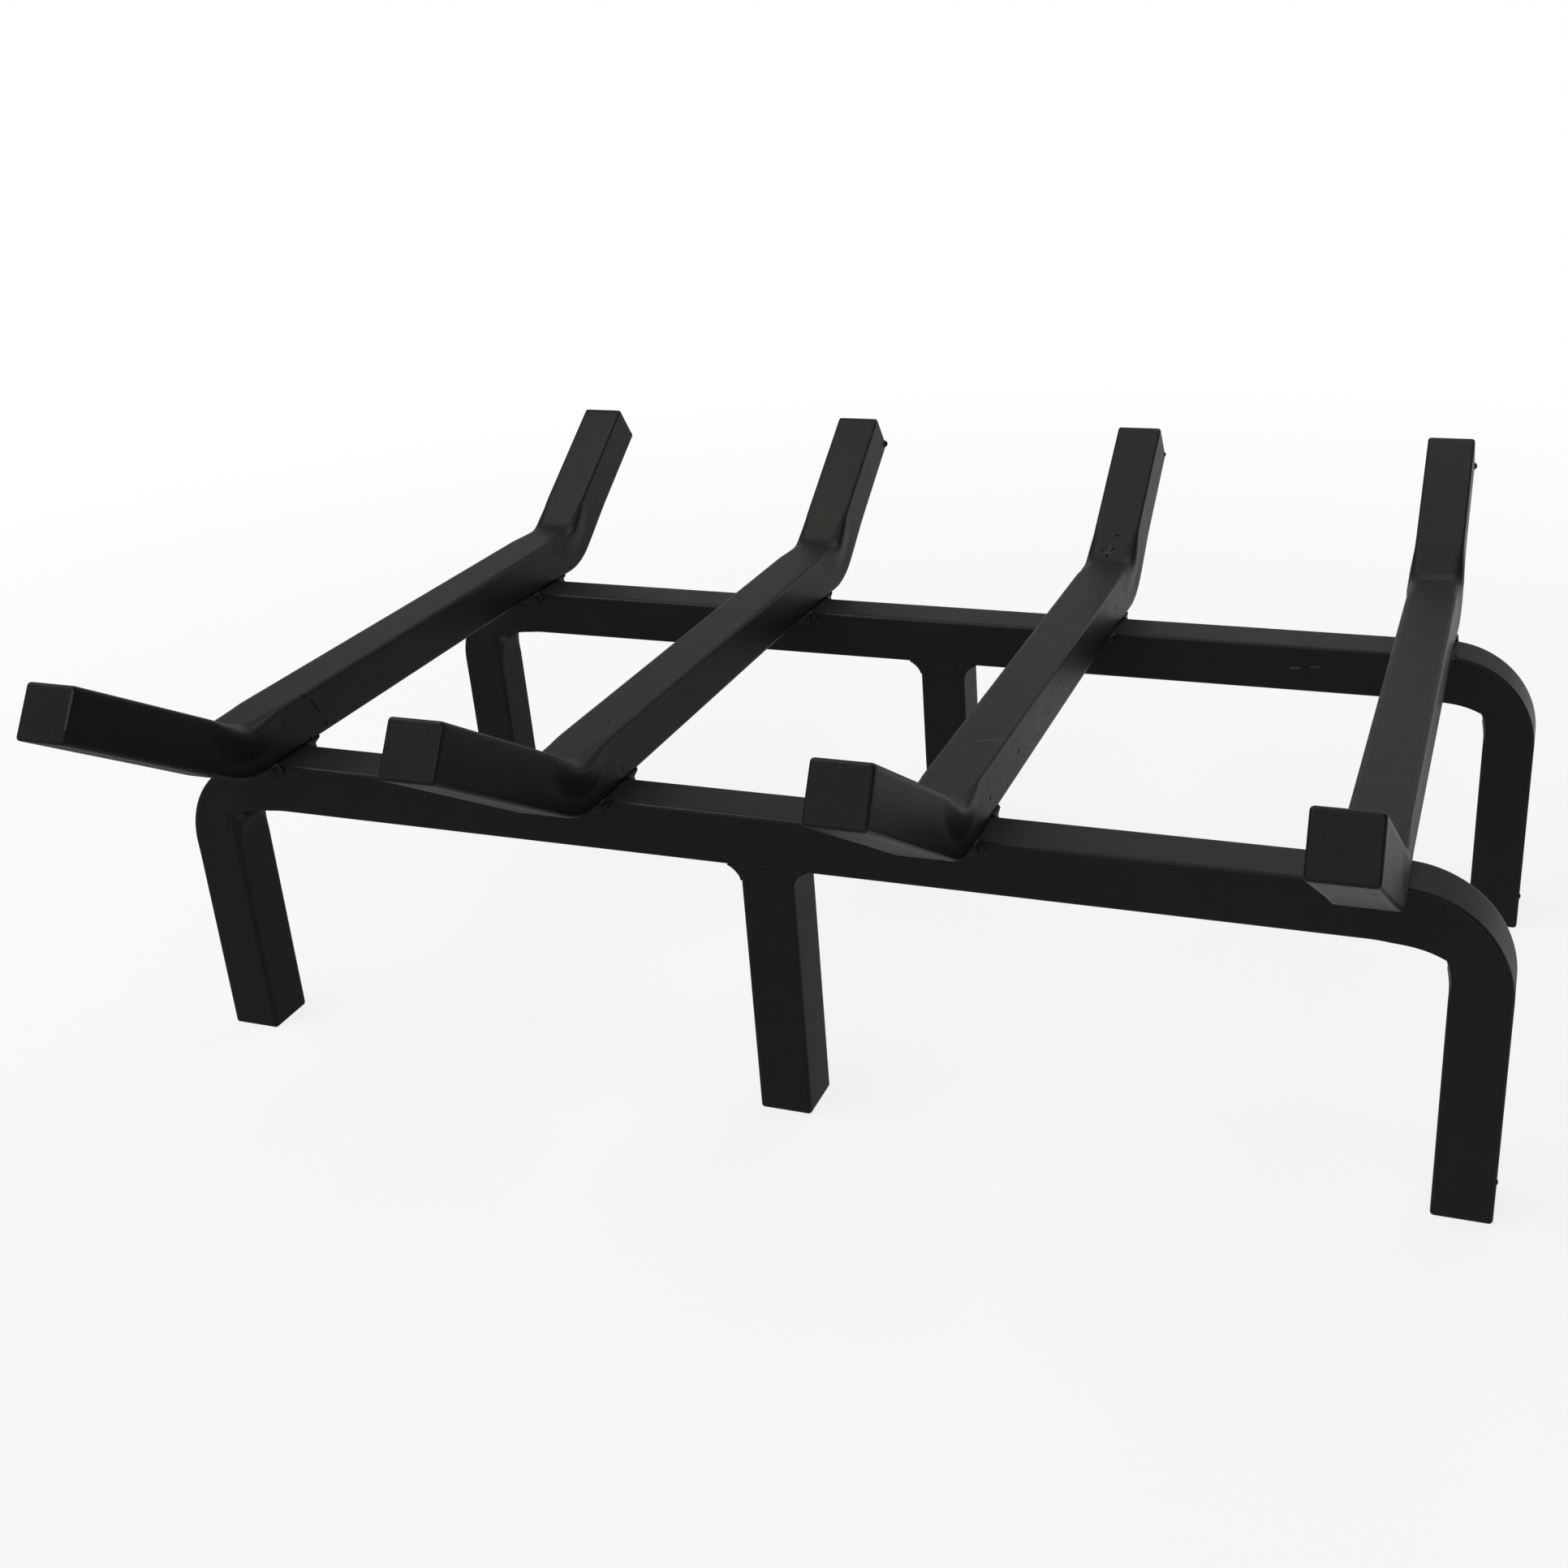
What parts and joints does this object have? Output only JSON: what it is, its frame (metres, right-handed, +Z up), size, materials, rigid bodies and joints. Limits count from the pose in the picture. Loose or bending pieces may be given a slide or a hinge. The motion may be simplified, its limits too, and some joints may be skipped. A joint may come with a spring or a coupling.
{
  "type": "log grate",
  "caption": "Free-standing hearth grate of welded square steel bar: bent rails on legs carry crosswise log bars whose upturned ends keep the logs in place.",
  "frame": {"origin": "on the hearth, midway between the two rails and between the end legs", "axes": "+X along the rails to the right, +Y from the front of the grate to its back, +Z up"},
  "size_m": [0.4726, 0.3932, 0.1785],
  "materials": {
    "black_paint": "satin black high-temperature paint on rolled steel bar, with a fine grain",
    "painted_weld": "satin black paint over rippled weld metal"
  },
  "bodies": {
    "root": {"front_rail": "black_paint", "rear_rail": "black_paint", "front_center_leg": "black_paint", "rear_center_leg": "black_paint", "log_bar_1": "black_paint", "log_bar_2": "black_paint", "log_bar_3": "black_paint", "log_bar_4": "black_paint", "weld_1_front_outer": "painted_weld", "weld_1_front_inner": "painted_weld", "weld_1_rear_outer": "painted_weld", "weld_1_rear_inner": "painted_weld", "weld_2_front_outer": "painted_weld", "weld_2_front_inner": "painted_weld", "weld_2_rear_outer": "painted_weld", "weld_2_rear_inner": "painted_weld", "weld_3_front_outer": "painted_weld", "weld_3_front_inner": "painted_weld", "weld_3_rear_outer": "painted_weld", "weld_3_rear_inner": "painted_weld", "weld_4_front_outer": "painted_weld", "weld_4_front_inner": "painted_weld", "weld_4_rear_outer": "painted_weld", "weld_4_rear_inner": "painted_weld", "weld_front_leg_left": "painted_weld", "weld_front_leg_right": "painted_weld", "weld_rear_leg_left": "painted_weld", "weld_rear_leg_right": "painted_weld"}
  },
  "joints": []
}
